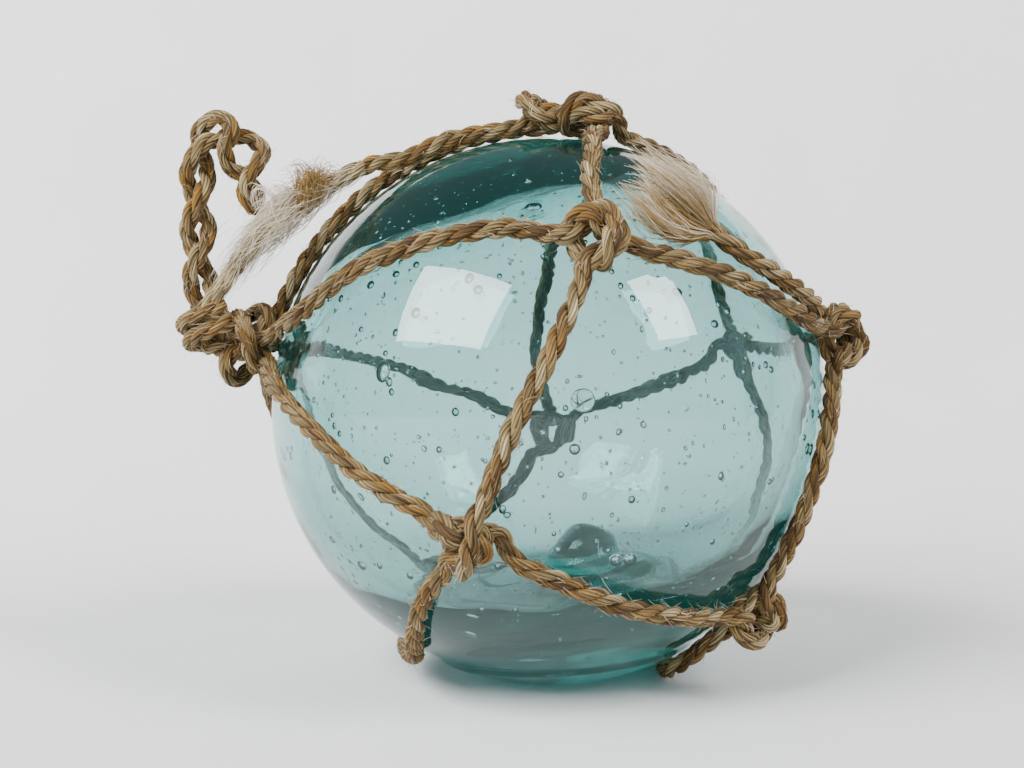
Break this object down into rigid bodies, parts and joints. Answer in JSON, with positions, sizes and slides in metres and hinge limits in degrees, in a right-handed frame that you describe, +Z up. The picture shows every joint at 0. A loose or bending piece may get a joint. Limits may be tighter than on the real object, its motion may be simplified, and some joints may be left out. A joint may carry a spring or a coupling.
{
  "type": "netted glass float ball",
  "caption": "Hand-blown clear glass fishing float with a thick seal underneath, held in a knotted net of twisted twine with a hanging loop.",
  "frame": {"origin": "on the flat spot that the float stands on, under the middle of the ball", "axes": "+Z up, -Y the side first seen, -X the side with the collar and the hanging loop"},
  "size_m": [0.1023, 0.0947, 0.0893],
  "materials": {
    "glass": "clear sea-green glass with many small bubbles, polished smooth",
    "twine": "three-strand twisted plant-fibre twine, golden brown with pale yarns, slightly hairy",
    "frayed_fibre": "loose bleached fibres"
  },
  "bodies": {
    "root": {"glass_float": "glass", "net": "twine", "hanging_loop": "twine", "frayed_tail": "twine", "tail_tassel": "frayed_fibre"}
  },
  "joints": []
}
